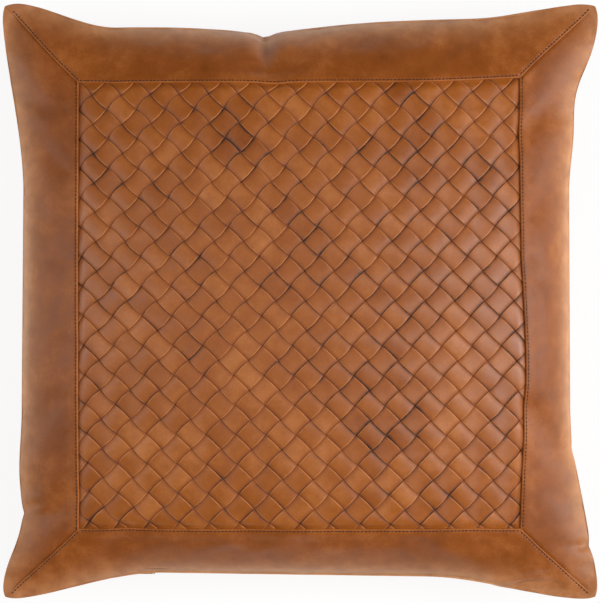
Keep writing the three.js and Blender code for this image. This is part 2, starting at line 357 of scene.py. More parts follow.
def new_object(name, points, faces, sharp=None, **attributes):
    mesh = bpy.data.meshes.new(name)
    mesh.from_pydata(np.asarray(points, float).reshape(-1, 3).tolist(), [], faces)
    mesh.shade_smooth()
    if sharp:
        mesh.set_sharp_from_angle(angle=math.radians(sharp))
    for label, values in attributes.items():
        attribute = mesh.attributes.new(label, "FLOAT", "POINT")
        attribute.data.foreach_set("value", np.ascontiguousarray(values, np.float32).ravel())
    obj = bpy.data.objects.new(name, mesh)
    bpy.context.scene.collection.objects.link(obj)
    return obj


def grid_faces(rows, columns, closed=False):
    """Quads of a grid whose points are numbered row by row."""
    faces = []
    for row in range(rows - 1):
        for column in range(columns if closed else columns - 1):
            a = row * columns + column
            b = row * columns + (column + 1) % columns
            faces.append((a, b, b + columns, a + columns))
    return faces


def grid_normals(grid, closed=False):
    rows = np.gradient(grid, axis=0)
    if closed:
        columns = np.roll(grid, -1, axis=1) - np.roll(grid, 1, axis=1)
    else:
        columns = np.gradient(grid, axis=1)
    return unit(np.cross(columns, rows))


def sheet_faces(rows, columns):
    """Quads of a closed sheet: an upper grid, a lower grid and the walls round them."""
    count = rows * columns
    upper = grid_faces(rows, columns)
    lower = [tuple(count + i for i in reversed(face)) for face in upper]
    rim = list(range(columns))
    rim += [row * columns + columns - 1 for row in range(1, rows)]
    rim += [(rows - 1) * columns + column for column in range(columns - 2, -1, -1)]
    rim += [row * columns for row in range(rows - 2, 0, -1)]
    walls = []
    for place, a in enumerate(rim):
        b = rim[(place + 1) % len(rim)]
        walls.append((b, a, a + count, b + count))
    return upper + lower + walls


def sheet_object(name, grid, thickness, sharp=40, **attributes):
    """A closed sheet whose outer face is the grid."""
    under = grid - grid_normals(grid) * thickness
    points = np.concatenate([grid.reshape(-1, 3), under.reshape(-1, 3)])
    doubled = {k: np.concatenate([v.ravel(), v.ravel()]) for k, v in attributes.items()}
    faces = sheet_faces(*grid.shape[:2])
    return new_object(name, points, faces, sharp, **doubled)


def finish_piece(obj, material, body="pillow", stands_for=()):
    obj.data.materials.clear()
    obj.data.materials.append(material)
    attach(obj, body)
    if stands_for:
        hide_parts(*stands_for)
    return obj


# ---------------------------------------------------------------- cloth simulation

def cover_to_simulate():
    """A plain closed cover held at its outer seam and where it rests, and its points' numbers."""
    angles = np.linspace(-math.pi / 2, math.pi / 2, SIM_CELLS + 1)
    s, t = np.meshgrid(np.sin(angles), np.sin(angles), indexing="ij")
    front = surface("front", s, t)
    back = surface("back", s, t)
    rim = from_edge(s, t) < 1e-5 * half
    front[rim, 2] = seam_height
    number = np.arange(s.size).reshape(s.shape)
    back_number = number.copy()
    back_number[~rim] = s.size + np.arange((~rim).sum())
    faces = []
    for i in range(SIM_CELLS):
        for j in range(SIM_CELLS):
            ring = [(i, j), (i + 1, j), (i + 1, j + 1), (i, j + 1)]
            faces.append(tuple(number[k] for k in ring))
            faces.append(tuple(back_number[k] for k in reversed(ring)))
    points = np.concatenate([front.reshape(-1, 3), back[~rim]])
    obj = new_object("simulated_cover", points, faces)
    held = np.concatenate([number[rim], back_number[(back[..., 2] < RESTS_BELOW) & ~rim]])
    obj.vertex_groups.new(name="held").add(held.tolist(), 1.0, "REPLACE")
    return obj, points, number, back_number


def simulate_cover():
    """Inflates the cover with a cloth simulation and keeps how far each point of it moved."""
    obj, points, number, back_number = cover_to_simulate()
    cloth = obj.modifiers.new("Cloth", "CLOTH")
    for setting, value in SIM_SETTINGS.items():
        setattr(cloth.settings, setting, value)
    cloth.settings.effector_weights.gravity = 0
    cloth.collision_settings.use_collision = False
    cloth.point_cache.frame_start = 1
    cloth.point_cache.frame_end = SIM_FRAMES
    for moment in range(1, SIM_FRAMES + 1):
        bpy.context.scene.frame_set(moment)
    evaluated = obj.evaluated_get(bpy.context.evaluated_depsgraph_get())
    moved = np.array([v.co for v in evaluated.data.vertices]) - points
    size = np.linalg.norm(moved, axis=1, keepdims=True)
    moved *= SIM_CAP * np.tanh(size / SIM_CAP) / np.maximum(size, 1e-9)
    relief["front"] = moved[number]
    relief["back"] = moved[back_number]
    bpy.context.scene.frame_set(1)
    bpy.data.objects.remove(obj)


# ---------------------------------------------------------------- borders

def folded_edge():
    """Rows of a folded edge as (distance from it, height), and the number of the first one on top."""
    bottom = HEM_LIFT - 2 * FOLD_RADIUS
    rows = [(HEM, bottom), (HEM * 0.6, bottom), (HEM * 0.25, bottom)]
    for angle in np.radians(np.arange(-90, 91, 22.5)):
        distance = FOLD_RADIUS * (1 - math.cos(angle))
        rows.append((distance, HEM_LIFT - FOLD_RADIUS + FOLD_RADIUS * math.sin(angle)))
    first_on_top = len(rows)
    rows += [(STITCH_INSET - 0.45 * mm, HEM_LIFT - 0.1 * mm), (STITCH_INSET, HEM_LIFT - HEM_GROOVE),
             (STITCH_INSET + 0.5 * mm, HEM_LIFT - 0.08 * mm), (3.4 * mm, HEM_LIFT)]
    for distance in np.array([5, 7, 9, 11, 13, 15.5, 18]) * mm:
        rows.append((distance, HEM_LIFT * (1 - smooth(distance, LEDGE_START, LEDGE_END))))
    return np.array(rows), first_on_top


# Distances from a mitre at which the columns near it stand, on a border over it and on one under it
MITRE_COLUMNS = np.array([0, 0.12, 0.3, 0.55, 1.0, 1.55, 2.0, 2.5, 3.4, 5, 7, 8.2, 9.2, 10.2,
                          11.4, 13, 15]) * mm
LAPPED_COLUMNS = np.array([-8, -5, -2, -1, 0, 1, 2, 3, 4, 5.5, 7, 9, 11, 13, 15]) * mm

EDGE_ANGLE = 0.028  # of the last row before the edge, where a row's angle is 0 at the edge

# Rows round the very edge as (inward, height over the seam plane): a sewn seam, a lip, a corner tip
SEWN = np.array([(0.15, 1.7), (0.55, 1.05), (1.1, 0.55), (1.7, 0.3), (2.4, 0.15), (4, 0.12),
                 (5.5, 0.12)]) * mm
LIPS = np.array([(0.02, 5.2), (0.08, 4.8), (0.25, 4.3), (0.6, 4.0), (1.2, 3.9), (3, 4.5),
                 (5.4, 5.6)]) * mm
TIPS = np.array([(-0.5, 1.35), (-0.7, 0.95), (-0.6, 0.55), (-0.2, 0.22), (0.6, 0.12), (2, 0.1),
                 (3, 0.1)]) * mm


def edge_rows(face, s, t):
    """Rows of points that turn the leather in at the cover's edge, for places on that edge."""
    x, y = plan(s, t)
    shares = np.stack([s, t], axis=-1)
    outward = unit(shares * np.abs(shares) ** TIP_ROUNDING_POWER)
    on_edge = surface(face, s, t)
    zip_share = over_zip(x, t)[:, None]
    tip_share = smooth(np.minimum(np.abs(s), np.abs(t)), 0.8, 0.97)[:, None]
    sign = 1 if face == "front" else -1
    rows = []
    for sewn, lip, tip in zip(SEWN, LIPS, TIPS):
        path = sewn + (tip - sewn) * tip_share
        path = path + (lip - path) * zip_share
        flat = on_edge[:, :2] - outward * path[:, :1]
        rows.append(np.concatenate([flat, seam_height + sign * path[:, 1:]], axis=1))
    return np.array(rows)


def waves(along, seed, lengths, size):
    """An irregular wave along a line, from a few sines."""
    random = np.random.default_rng(seed)
    total = np.zeros_like(along)
    for length in lengths:
        phase, strength = random.uniform(0, 2 * np.pi), random.uniform(0.6, 1)
        total += strength * np.sin(2 * np.pi * along / length + phase)
    return size * total / len(lengths)


def puckers(s, t, seed):
    """Short gathers that run in from the outer seam."""
    to_edge = from_edge(s, t)
    along = np.where(np.abs(s) > np.abs(t), t, s) * half
    fade = np.exp(-to_edge / (9 * mm)) * (1 - smooth(np.abs(along) / half, 0.8, 0.97))
    gathers = waves(along, seed, [0.0083, 0.0127, 0.0171, 0.0233], 0.55 * mm)
    gathers *= 0.55 + waves(along, seed + 1, [0.061, 0.113], 0.9)
    return gathers * fade * smooth(to_edge, 0, 0.8 * mm)


def painted_sheen_share(s, t):
    """How strongly a pale reflection is painted on the leather: most along the outer seam, less towards
    the tips.
    """
    return np.exp(-(from_edge(s, t) / PAINTED_SHEEN_WIDTH) ** 1.3) * (1 - 0.6 * np.abs(s * t) ** 3)


def skived(to_edge, rim_rows):
    """The leather's thickness row by row: pared down towards the outer seam, and thin within it."""
    pared = smooth(-to_edge, -4 * mm, -0.5 * mm)
    shares = np.concatenate([1 - (1 - SKIVED_SHARE) * pared, np.full(rim_rows, SKIVED_SHARE)])
    return LEATHER * shares[:, None, None]


def border_places(v_rows, laps):
    """Shares u along a border for each of its rows, and their distances from the nearer mitre."""
    ends = MITRE_COLUMNS if laps else LAPPED_COLUMNS
    middle = np.linspace(-1, 1, 230)[1:-1]
    u_rows = []
    for v in v_rows:
        lapped = np.where(ends < 0, ends * (1 - 0.98 * smooth(v, 0.93, 0.985)), ends)
        low = -(v - lapped * math.sqrt(2) / half)
        low = np.maximum(low, -1 + 1e-4 * np.arange(len(low)))
        u_rows.append(np.concatenate([low, middle * -low[-1], -low[::-1]]))
    u = np.array(u_rows)
    return u, (v_rows[:, None] - np.abs(u)) * half / math.sqrt(2)


def mitre_heights(height, from_mitre, laps, on_top, fade_out):
    """A border's heights with its mitres: a lapping one is folded under there, the other one sinks."""
    if not laps:
        under = 1 - smooth(from_mitre, -0.5 * mm, 3 * mm)
        sunk = np.where(on_top, -LAP_DEPTH - height, 0)
        return height + sunk * under * np.maximum(fade_out, 0.4)
    ledge = HEM_LIFT * (1 - smooth(from_mitre, LEDGE_START, LEDGE_END))
    groove = MITRE_GROOVE * np.exp(-((from_mitre - STITCH_INSET) / (0.45 * mm)) ** 2)
    corner = 0.6 * mm
    overhang = np.clip(corner - from_mitre, 0, corner)
    rounding = corner - np.sqrt(np.clip(corner ** 2 - overhang ** 2, 0, 1))
    height = np.where(on_top, np.maximum(height, ledge * fade_out), height)
    height = height - np.where(on_top, groove * fade_out, 0)
    return height - rounding * fade_out


def border_grid(quarters, laps):
    """Outer face of one border, as a grid from its hem under the panel seam to its outer seam."""
    seam, first_on_top = folded_edge()
    base_start = math.asin(PANEL_SHARE + seam[-1, 0] / half)
    base = np.sin(np.linspace(base_start, math.pi / 2 - EDGE_ANGLE, 42)[1:])
    v_rows = np.concatenate([PANEL_SHARE + seam[:, 0] / half, base, [1.0]])
    u, from_mitre = border_places(v_rows, laps)
    v = np.broadcast_to(v_rows[:, None], u.shape)
    height = np.zeros(u.shape)
    height[:len(seam)] = seam[:, 1:]
    on_top = (np.arange(len(v_rows)) >= first_on_top)[:, None]
    fade_out = 1 - smooth(v, *MITRE_FADE)
    height = mitre_heights(height, from_mitre, laps, on_top, fade_out)
    s, t = turned(u, v, quarters)
    distance = (v - PANEL_SHARE) * half
    ripples = waves(u * half, 70 + quarters, [0.0107, 0.0163, 0.0251], 0.35 * mm)
    ripples *= np.exp(-((distance - HEM - 1.5 * mm) / (2.5 * mm)) ** 2)
    height = height + np.where(on_top, puckers(s, t, 40 + quarters) + folds(s, t) + ripples, 0)
    main = lifted("front", s[:-1], t[:-1], height[:-1])
    rim = edge_rows("front", s[-1], t[-1])
    # Colour marks: a painted highlight along the folded edge, a slight lightening over the hem, and a
    # pale reflection painted along the outer seam
    marks = {
        "fold_highlight": np.exp(-(distance / (1.0 * mm)) ** 2),
        "hem": 1 - smooth(distance, HEM - 2 * mm, HEM + 4 * mm),
        "rubbed": painted_sheen_share(s, t),
    }
    if laps:
        # The same painted highlight along the mitre's folded edge
        mitre_fold_highlight = np.exp(-(from_mitre / (0.9 * mm)) ** 2)
        mitre_hem = 1 - smooth(from_mitre, HEM - 2 * mm, HEM + 4 * mm)
        marks["fold_highlight"] = np.maximum(marks["fold_highlight"], mitre_fold_highlight * fade_out)
        marks["hem"] = np.maximum(marks["hem"], mitre_hem * fade_out)
    for label, values in marks.items():
        marks[label] = np.concatenate([values, np.repeat(values[-1:], len(rim) - 1, axis=0)])
    thickness = skived((1 - v_rows[:-1]) * half, len(rim))
    return np.concatenate([main, rim]), thickness, marks


def make_borders(material):
    """The four mitred borders."""
    for quarters, side in enumerate(SIDES):
        grid, thickness, marks = border_grid(quarters, laps=side in MITRE_ENDS)
        obj = sheet_object(f"border_{side}_leather", grid, thickness, **marks)
        finish_piece(obj, material, stands_for=[f"border_{side}"])


# ---------------------------------------------------------------- the woven panel

def weave_plan(a, b):
    """X and Y of a place in the weave, a and b being half steps right and down from its middle."""
    x = WEAVE_SHIFT[0] + WEAVE_STEP * a + WEAVE_STEP * WEAVE_LEAN * b + WEAVE_SPREAD[0] * a * b
    y = WEAVE_SHIFT[1] - WEAVE_STEP * b + WEAVE_SPREAD[1] * a * b
    return x, y


# Where the rows of a strip stand within one crossing, as shares of half its length
CREST_POWER = 0.8
CROSSING_ROWS = np.array([-0.9, -0.78, -0.6, -0.36, -0.12, 0.12, 0.36, 0.6, 0.78, 0.9])
ACROSS = np.array([-1, -0.975, -0.9, -0.7, -0.4, 0, 0.4, 0.7, 0.9, 0.975, 1])
ROUNDING = np.array([0.62, 0.86, 0.97, 1, 1, 1, 1, 1, 0.97, 0.86, 0.62])


def strip_plan(cross, along, rising):
    """Shares s and t of a place on a strip: cross is over its width, along its length."""
    across = cross - along if rising else along - cross
    return shares_at(*weave_plan((cross + along) / 2, across / 2))


def strip_ends(cross, rising, reach):
    """Where a line along a strip crosses out of the panel, in half steps along it."""
    length = 2 * STRIP_REACH
    samples = np.linspace(-length, length, 2 * length * SAMPLES_PER_STEP + 1)
    s, t = strip_plan(cross, samples, rising)
    inside = np.maximum(np.abs(s), np.abs(t)) < reach
    if not inside.any():
        return None
    found = samples[inside]
    return found[0], found[-1]


def strip_rows(starts, stops):
    """Places of a strip's rows along each of its lines, as one grid."""
    low, high = starts.max(), stops.min()
    if high - low > LEAST_MIDDLE:
        first = math.ceil(low + 1.2)
        first += 1 - first % 2
        last = math.floor(high - 1.2)
        last -= 1 - last % 2
        middle = [centre + share for centre in range(first, last + 1, 2) for share in CROSSING_ROWS]
        middle = np.array([m for m in middle if first - 0.2 <= m <= last + 0.2])
    else:
        middle = np.array([(low + high) / 2])
    shares = np.linspace(0, 1, END_ROWS + 1)[:-1]
    head = starts[None, :] + (middle[0] - starts[None, :]) * shares[:, None]
    tail = stops[None, :] + (middle[-1] - stops[None, :]) * shares[::-1, None]
    body = np.repeat(middle[:, None], len(starts), axis=1)
    return np.concatenate([head, body, tail])


def strip_cut(number, rising):
    """Lines along a strip to keep, where each starts and stops, and the cut's flat size and area."""
    ends = [strip_ends(number + cross, rising, PANEL_SHARE + TUCK / half) for cross in ACROSS]
    keep = [i for i, end in enumerate(ends) if end and end[1] - end[0] > SHORTEST_LINE]
    if len(keep) < FEWEST_LINES:
        return None
    starts, stops = np.array([ends[i] for i in keep]).T
    lengths = (stops - starts) * WEAVE_PITCH / 2
    places = ACROSS[keep] * WEAVE_PITCH / 2
    flat = (max(float(np.ptp(places)), MIN_FLAT), max(float(lengths.max()), MIN_FLAT))
    area = float(np.trapz(lengths, places))
    if area < LEAST_SHARE * flat[0] * flat[1]:
        return None
    return keep, starts, stops, flat, area


def from_panel_seam(s, t):
    """Distance in from the seam round the woven panel."""
    return (PANEL_SHARE - np.maximum(np.abs(s), np.abs(t))) * half


def seam_drop(to_seam):
    """How far the strips and their backing dip on their way under the borders."""
    return TUCK_DROP * (1 - smooth(to_seam, -0.5 * mm, 6.5 * mm))


def strip_grids(number, rising, keep, along, tones, bows):
    """Points of a strip's upper and lower faces, and its marks, from its own tones and bows."""
    cross = np.broadcast_to(ACROSS[keep], along.shape)
    # A rising strip is on top where b is odd, a falling one where b is even
    phase = (along - (number - 2 if rising else number)) / 2
    wave = np.cos(math.pi * phase)
    crest = np.sign(wave) * np.abs(wave) ** CREST_POWER
    crossing = np.round((along - number) / 2).astype(int) + TONE_COLUMNS // 2
    crossing = np.clip(crossing, 0, TONE_COLUMNS - 1)
    # Strips bulge where they cross over and are squeezed between crossings
    s, t = strip_plan(number, along, rising)
    ease = 1.25 - 0.75 * smooth(s - 0.6 * t, -0.9, 0.6)
    bow = bows[crossing] * ease * (0.5 + 0.5 * np.cos(2 * math.pi * phase))
    widening = 1 + (bow - STRIP_GAP) / (WEAVE_PITCH / 2)
    wander = 0.018 * np.sin(along * 0.37 + tones[0] * 9) + 0.012 * np.sin(along * 0.83 + number)
    s, t = strip_plan(number + cross * widening + wander, along, rising)
    to_seam = from_panel_seam(s, t)
    squeeze = 1 - 0.25 * (1 - smooth(to_seam, -1 * mm, 4 * mm))
    middle = -WEAVE_DEPTH - seam_drop(to_seam) + STRIP / 2 * crest * (1 + cross * cross) * squeeze
    crown = STRIP_CROWN * (1 - cross * cross)
    # Painted shade: 1 where the strip sinks under its neighbours, which darkens its colour there
    dive = 1 - smooth(crest, -0.1, 0.7)
    # Painted highlight: the strip's cut edges are made paler where it lies over its neighbours
    cut = np.where(np.abs(cross) > 0.95, 1 - dive, 0)
    top = lifted("front", s, t, middle + STRIP / 2 * ROUNDING[keep] + crown)
    bottom = lifted("front", s, t, middle - STRIP / 2)
    grids = [top, bottom, cut, tones[crossing], dive]
    # A falling strip is a mirror image, so its columns are turned round to keep its outside out
    return grids if rising else [grid[:, ::-1] for grid in grids]


def make_strip(number, rising, tones, bows, material):
    """One woven strip. Its middle line keeps a + b (rising) or a - b (falling) at an odd number."""
    found = strip_cut(number, rising)
    if found is None:
        return None
    keep, starts, stops, flat, area = found
    row = (number + TONE_ROWS) // 2
    along = strip_rows(starts, stops)
    top, bottom, *marks = strip_grids(number, rising, keep, along, tones[row], bows[row])
    points = np.concatenate([top.reshape(-1, 3), bottom.reshape(-1, 3)])
    marks = {label: np.tile(values.ravel(), 2) for label, values in zip(["cut", "tone", "dive"], marks)}
    name = f"strip_{'rising' if rising else 'falling'}_{row:02d}"
    obj = new_object(name, points, sheet_faces(*along.shape), 35, **marks)
    finish_piece(obj, material)
    return obj, flat, area


def make_weave(material):
    """Every strip of the weave, first the ones that rise to the right and then the ones that fall."""
    made = {True: [], False: []}
    for rising in (True, False):
        tones = rng.normal(0, 1, (TONE_ROWS, TONE_COLUMNS)) * 0.6
        tones = tones + rng.normal(0, 1, (TONE_ROWS, 1)) * 0.6
        bows = STRIP_BOW[rising] * rng.uniform(0.6, 1.35, (TONE_ROWS, TONE_COLUMNS))
        for number in range(-2 * STRIP_REACH + 1, 2 * STRIP_REACH, 2):
            strip = make_strip(number, rising, tones, bows, material)
            if strip:
                made[rising].append(strip)
    for rising, node in ((True, "weave_strips_rising"), (False, "weave_strips_falling")):
        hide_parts(node)


def make_backing(material):
    """The cloth under the weave, caught in the panel seam."""
    edge = PANEL_SHARE + 6 * mm / half
    lines = np.linspace(-edge, edge, 90)
    s, t = np.meshgrid(lines, lines, indexing="xy")
    grid = lifted("front", s, t, -BACKING_DEPTH - seam_drop(from_panel_seam(s, t)))
    obj = sheet_object("weave_backing_cloth", grid, CLOTH)
    finish_piece(obj, material, stands_for=["weave_backing"])


# ---------------------------------------------------------------- back, insert and filling

def ring_places(rings, per_side):
    """Shares s and t on square rings round the middle, row by row from the inside out."""
    angles = np.linspace(-math.pi / 2, math.pi / 2, per_side + 1)[:-1]
    run = np.sin(angles)
    one = np.ones(per_side)
    s = np.concatenate([run, one, -run, -one])
    t = np.concatenate([-one, run, one, -run])
    return rings[:, None] * s[None, :], rings[:, None] * t[None, :]


def disc_faces(rows, columns):
    """Faces of a closed sheet made of rings, each side of it with a middle point of its own."""
    count = rows * columns
    middle = 2 * count
    upper = grid_faces(rows, columns, closed=True)
    upper += [(middle, (k + 1) % columns, k) for k in range(columns)]
    lower = [tuple(middle + 1 if k == middle else k + count for k in face) for face in upper]
    outer = [(rows - 1) * columns + k for k in range(columns)]
    walls = [(a, b, b + count, a + count) for a, b in zip(outer, outer[1:] + outer[:1])]
    return upper + lower + walls


def face_outward(obj):
    """Turns a closed mesh's faces so that they all point out."""
    work = bmesh.new()
    work.from_mesh(obj.data)
    bmesh.ops.recalc_face_normals(work, faces=work.faces)
    work.to_mesh(obj.data)
    work.free()
    obj.data.shade_smooth()
    obj.data.set_sharp_from_angle(angle=math.radians(45))


def disc_sheet(name, grid, thickness, **attributes):
    """A closed sheet made of rings, with its outer face on the grid."""
    across = grid_normals(grid, closed=True)
    under = grid - across * thickness
    centre = grid[0].mean(axis=0)
    under_centre = centre - unit(across[0].mean(axis=0)) * np.max(thickness)
    points = np.concatenate([grid.reshape(-1, 3), under.reshape(-1, 3), [centre, under_centre]])
    values = {k: np.concatenate([v.ravel(), v.ravel(), [v[0, 0]] * 2]) for k, v in attributes.items()}
    obj = new_object(name, points, disc_faces(*grid.shape[:2]), **values)
    face_outward(obj)
    return obj


def make_back(material):
    """The plain back panel, with its edge turned in at the seam."""
    first_angle, ring_count, per_side = 0.03, 70, 150
    rings = np.sin(np.linspace(first_angle, math.pi / 2 - EDGE_ANGLE, ring_count))
    s, t = ring_places(rings, per_side)
    main = lifted("back", s, t, puckers(s, t, 61))
    s_edge, t_edge = ring_places(np.array([1.0]), per_side)
    rim = edge_rows("back", s_edge[0], t_edge[0])
    grid = np.concatenate([main, rim])
    # A pale reflection painted along the outer seam, full on the turned-in edge
    rubbed = np.concatenate([painted_sheen_share(s, t), np.ones((len(rim), rim.shape[1]))])
    thickness = skived((1 - rings) * half, len(rim))
    obj = disc_sheet("back_panel_leather", grid, thickness, rubbed=rubbed)
    finish_piece(obj, material, stands_for=["back_panel"])


def inner_form(face, s, t, reach, depth):
    """Points of a smaller cushion inside the cover, which comes together at its own seam."""
    outward = np.maximum(np.abs(s), np.abs(t))[..., None]
    inside = surface(face, s, t) - normals(face, s, t) * depth
    inside[..., :2] *= 1 - (1 - reach / half) * smooth(outward, 0.55, 1)
    edge = seam_height + (INSERT_EDGE if face == "front" else -INSERT_EDGE)
    inside[..., 2:] += (edge - inside[..., 2:]) * smooth(outward, 0.8, 1) ** 3
    return inside


def insert_places():
    """Shares s and t of the insert's points, which lie closer together towards its edge."""
    first_angle, ring_count, per_side = 0.04, 48, 48
    return ring_places(np.sin(np.linspace(first_angle, math.pi / 2, ring_count)), per_side)


def make_insert(material):
    """The insert's cotton case, in two halves."""
    s, t = insert_places()
    for face, depth in INSERT_DEPTH.items():
        grid = inner_form(face, s, t, INSERT_REACH, depth)
        obj = disc_sheet(f"insert_{face}_cotton", grid, CLOTH)
        finish_piece(obj, material, stands_for=[f"insert_{face}"])


def make_filling(material):
    """The filling, one closed form whose two faces share their outermost ring."""
    s, t = insert_places()
    front = inner_form("front", s, t, FILLING_REACH, FILLING_DEPTH["front"])
    back = inner_form("back", s, t, FILLING_REACH, FILLING_DEPTH["back"])
    rows, columns = s.shape
    count = rows * columns
    last_ring = count - columns
    points = np.concatenate([front.reshape(-1, 3), back[:-1].reshape(-1, 3),
                             [front[0].mean(axis=0), back[0].mean(axis=0)]])
    middle = len(points) - 2
    faces = grid_faces(rows, columns, closed=True)
    faces += [tuple(k + count if k < last_ring else k for k in face) for face in faces]
    for k in range(columns):
        beside = (k + 1) % columns
        faces += [(middle, k, beside), (middle + 1, count + k, count + beside)]
    obj = new_object("filling_wadding", points, faces)
    face_outward(obj)
    finish_piece(obj, material, stands_for=["filling"])


# ---------------------------------------------------------------- stitching

def tube(path, radius, sides=6):
    """Rings of points round a path, and the quads and end caps that close them."""
    path = np.asarray(path)
    forward = unit(np.gradient(path, axis=0))
    unlike_any_path = np.array([0.13, 0.21, 0.97])
    side = unit(np.cross(forward, unlike_any_path))
    up = np.cross(side, forward)
    radius = np.broadcast_to(radius, len(path))
    angles = np.linspace(0, 2 * math.pi, sides, endpoint=False)
    ring = np.cos(angles)[None, :, None] * side[:, None] + np.sin(angles)[None, :, None] * up[:, None]
    points = path[:, None] + ring * radius[:, None, None]
    faces = grid_faces(len(path), sides, closed=True)
    last = (len(path) - 1) * sides
    faces.append(tuple(range(sides))[::-1])
    faces.append(tuple(last + k for k in range(sides)))
    return points.reshape(-1, 3), [tuple(reversed(f)) for f in faces]


def stitch_row(name, path, up, material, first=0.5):
    """A row of thread stitches along a path of points with their upward directions."""
    lengths = np.concatenate([[0], np.cumsum(np.linalg.norm(np.diff(path, axis=0), axis=1))])
    count = int(lengths[-1] / STITCH_PITCH)
    # Heights and thicknesses along one stitch, whose ends go down into the leather
    profile = np.array([-0.5, 0.0, 0.2, 0.25, 0.2, 0.0, -0.5]) * mm
    swell = np.array([0.6, 0.95, 1, 1, 1, 0.95, 0.6]) * THREAD
    all_points, all_faces, offset = [], [], 0
    for index in range(count):
        centre = (index + first) * STITCH_PITCH
        jitter = 0.12 * mm * math.sin(index * 2.4)
        places = centre + jitter + np.linspace(-0.5, 0.5, len(profile)) * STITCH_LENGTH
        line = np.stack([np.interp(places, lengths, path[:, k]) for k in range(3)], axis=1)
        lift = np.stack([np.interp(places, lengths, up[:, k]) for k in range(3)], axis=1)
        points, faces = tube(line + lift * profile[:, None], swell)
        all_points.append(points)
        all_faces += [tuple(k + offset for k in f) for f in faces]
        offset += len(points)
    obj = new_object(name, np.concatenate(all_points), all_faces)
    finish_piece(obj, material)
    return obj


def make_stitching(material):
    """Rows of stitches beside the panel seam, and beside the mitres on the borders that lap."""
    height = HEM_LIFT - HEM_GROOVE
    mitre_inset = STITCH_INSET * math.sqrt(2) / half
    for quarters, side in enumerate(SIDES):
        v = PANEL_SHARE + STITCH_INSET / half
        u_end = v - (mitre_inset if side in MITRE_ENDS else 1 * mm / half)
        u = np.linspace(-u_end, u_end, 700)
        s, t = turned(u, np.full_like(u, v), quarters)
        path = lifted("front", s, t, height)
        stitch_row(f"stitches_panel_{side}", path, normals("front", s, t), material)
        for end, word in zip((-1, 1), MITRE_ENDS.get(side, ())):
            v = np.linspace(PANEL_SHARE + STITCH_INSET / half, 0.985, 400)
            s, t = turned(end * (v - mitre_inset), v, quarters)
            path = lifted("front", s, t, height * (1 - smooth(v, *MITRE_FADE)))
            stitch_row(f"stitches_mitre_{side}_{word}", path, normals("front", s, t), material,
                       first=0.9)


def make_lip_stitching(material):
    """The row of stitches that holds the zip's tape to the back panel."""
    reach = zip_half + 4 * mm
    angle_up_the_back = 0.16
    x_share = np.linspace(-reach, reach, 700) / half
    t = np.full_like(x_share, -math.cos(angle_up_the_back))
    path = lifted("back", x_share, t, 0.15 * mm)
    stitch_row("stitches_lip_back", path, normals("back", x_share, t), material)


# ---------------------------------------------------------------- zip and label

def make_coil(name, node, material):
    """A row of coil teeth: one flattened spiral along its CAD bar."""
    low, high = map(np.array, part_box(node))
    pitch = 1.5 * mm
    wire = 0.34 * mm
    steps = 14
    squareness = 0.62  # of a turn: 1 is an ellipse, 0 a box
    turns = int((high[0] - low[0] - 2 * wire) / pitch)
    angle = np.linspace(0, 2 * math.pi * turns, turns * steps + 1)
    x = low[0] + wire + pitch * angle / (2 * math.pi)
    turn = np.stack([np.cos(angle), np.sin(angle)], axis=1)
    turn = np.sign(turn) * np.abs(turn) ** squareness
    yz = (low + high)[1:] / 2 + turn * ((high - low)[1:] / 2 - wire)
    points, faces = tube(np.column_stack([x, yz]), wire)
    obj = new_object(name, points, faces)
    finish_piece(obj, material, stands_for=[node])


def make_tape(name, node, material):
    """A woven tape with a thicker edge beside the teeth."""
    low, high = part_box(node)
    near_front = low.z > seam_height
    x = np.linspace(low.x, high.x, 220)
    z = np.linspace(low.z, high.z, 22)
    xs, zs = np.meshgrid(x, z, indexing="xy")
    inner = (zs - low.z) if near_front else (high.z - zs)
    bead = 0.15 * mm * np.exp(-((inner - 3.6 * mm) / (0.5 * mm)) ** 2)
    ripple = waves(xs, 90, [0.031, 0.047], 0.08 * mm) * smooth(inner, 4 * mm, 9 * mm)
    grid = np.stack([xs, low.y + 0.02 * mm + ripple - bead, zs], axis=-1)
    faces_inward = grid_normals(grid)[..., 1].mean() > 0
    if faces_inward:
        grid = grid[:, ::-1]
    obj = sheet_object(name, grid, high.y - low.y)
    finish_piece(obj, material, stands_for=[node])


def polish_metal(node, material, bevel):
    """Keeps a CAD piece, with its edges rounded and a metal finish."""
    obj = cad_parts[node]
    rounding = obj.modifiers.new("Rounded edges", "BEVEL")
    rounding.width = bevel
    rounding.segments = 3
    rounding.limit_method = "ANGLE"
    rounding.angle_limit = math.radians(40)
    rounding.harden_normals = True
    obj.data.materials.clear()
    obj.data.materials.append(material)


def make_label(material):
    """A blank care label, gently curled away from the seam that holds it."""
    low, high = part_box("care_label")
    y = np.linspace(low.y, high.y, 30)
    z = np.linspace(low.z, high.z, 22)
    ys, zs = np.meshgrid(y, z, indexing="xy")
    from_seam = np.abs(zs - seam_height) / (high.z - low.z)
    x = (low.x + high.x) / 2 + 1.2 * mm * np.sin(from_seam * 5) * from_seam
    grid = np.stack([x, ys, zs], axis=-1)
    obj = sheet_object("care_label_cloth", grid, 0.3 * mm)
    finish_piece(obj, material, stands_for=["care_label"])


# ---------------------------------------------------------------- materials

